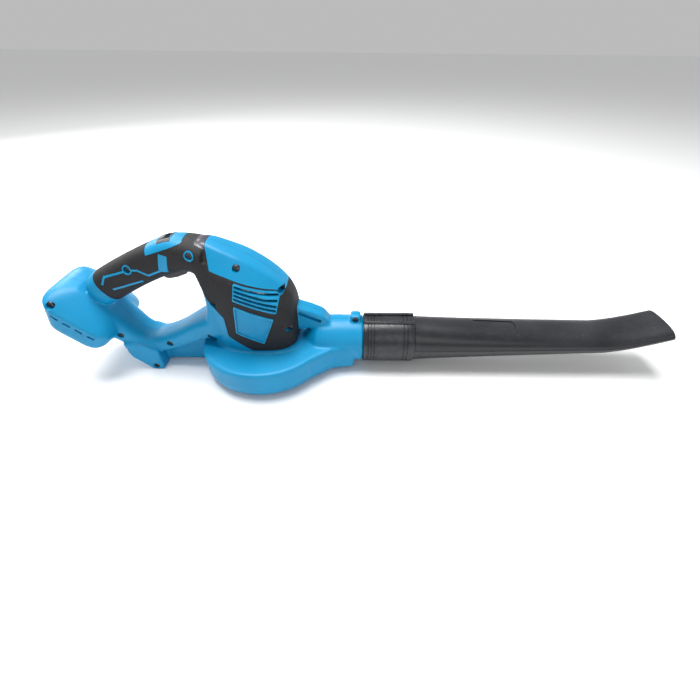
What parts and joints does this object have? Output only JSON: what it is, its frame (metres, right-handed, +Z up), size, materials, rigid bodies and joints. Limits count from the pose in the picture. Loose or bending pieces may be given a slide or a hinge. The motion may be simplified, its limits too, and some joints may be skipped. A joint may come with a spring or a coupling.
{
  "type": "leaf blower",
  "caption": "Cordless leaf blower with a centrifugal fan, an upright motor housing, a rubber-covered loop grip, a slide-on battery mount and a flat-mouthed nozzle tube.",
  "frame": {"origin": "the middle of the inlet grille's hub on the floor, under the fan's axis", "axes": "+X out of the nozzle, +Z up along the fan's axis, +Y to the left of someone who holds it"},
  "size_m": [0.5925, 0.1175, 0.1395],
  "materials": {
    "teal_plastic": "fine moulded texture, semi-gloss",
    "black_rubber": "matt speckled overmould",
    "grey_plastic": "satin",
    "dark_plastic": "satin",
    "steel": "satin",
    "copper": "satin",
    "brass": "satin",
    "carbon": "matt",
    "white_nylon": "matt",
    "board_green": "satin",
    "red_cable": "satin"
  },
  "bodies": {
    "housing": {"badge_panel_left": "teal_plastic", "badge_panel_right": "teal_plastic", "battery_lead_negative": "black_rubber", "battery_lead_positive": "red_cable", "bearing_lower": "brass", "bearing_upper": "brass", "bridge_front_screw": "steel", "bridge_middle_screw": "steel", "bridge_rear_screw": "steel", "brush_front": "carbon", "brush_rear": "carbon", "control_board": "board_green", "duct_end_screw": "steel", "duct_fairing_screw": "steel", "foot_screw": "steel", "grip_screw": "steel", "handle_front_screw": "steel", "housing_left": "teal_plastic", "housing_right": "teal_plastic", "inlet_grille": "dark_plastic", "magnet_left": "carbon", "magnet_right": "carbon", "motor_can": "steel", "motor_end_cap": "white_nylon", "motor_front_screw": "steel", "motor_lead_negative": "black_rubber", "motor_lead_positive": "red_cable", "motor_mount_ring": "black_rubber", "motor_top_screw": "steel", "mount_screw": "steel", "overmould_left": "black_rubber", "overmould_right": "black_rubber", "seal_ring": "black_rubber", "strut_screw": "steel", "switch_body": "dark_plastic", "terminal_block": "dark_plastic", "terminal_negative": "brass", "terminal_positive": "brass", "terminal_sensor": "brass", "trigger_spring": "steel", "vent_grille_left": "teal_plastic", "vent_grille_right": "teal_plastic"},
    "rotor": {"motor_shaft": "steel", "armature_core": "steel", "winding_lower": "copper", "winding_upper": "copper", "commutator": "copper", "fan_impeller": "grey_plastic", "fan_nut": "steel"},
    "trigger": {"trigger": "dark_plastic"},
    "speed_slider": {"speed_slider": "grey_plastic"},
    "cuff": {"nozzle_cuff": "dark_plastic"},
    "nozzle": {"nozzle_tube": "dark_plastic"}
  },
  "joints": [
    {"name": "fan_spin", "type": "hinge", "parent": "housing", "child": "rotor", "pos_m": [0, 0, 0.0205], "axis": [0, 0, 1], "continuous": true},
    {"name": "trigger_pull", "type": "slide", "parent": "housing", "child": "trigger", "axis": [0, 0, 1], "range_m": [0, 0.0032], "stiffness_N_per_m": 700, "springref_m": -0.001, "deforming": ["trigger_spring"]},
    {"name": "speed_slide", "type": "slide", "parent": "housing", "child": "speed_slider", "axis": [0.9494, 0, 0.314], "range_m": [0, 0.005]},
    {"name": "cuff_twist", "type": "hinge", "parent": "housing", "child": "cuff", "pos_m": [0.1013, 0, 0.0285], "axis": [1, 0, 0], "range_deg": [0, 30]},
    {"name": "nozzle_pull", "type": "slide", "parent": "cuff", "child": "nozzle", "axis": [1, 0, 0], "range_m": [0, 0.02]}
  ]
}
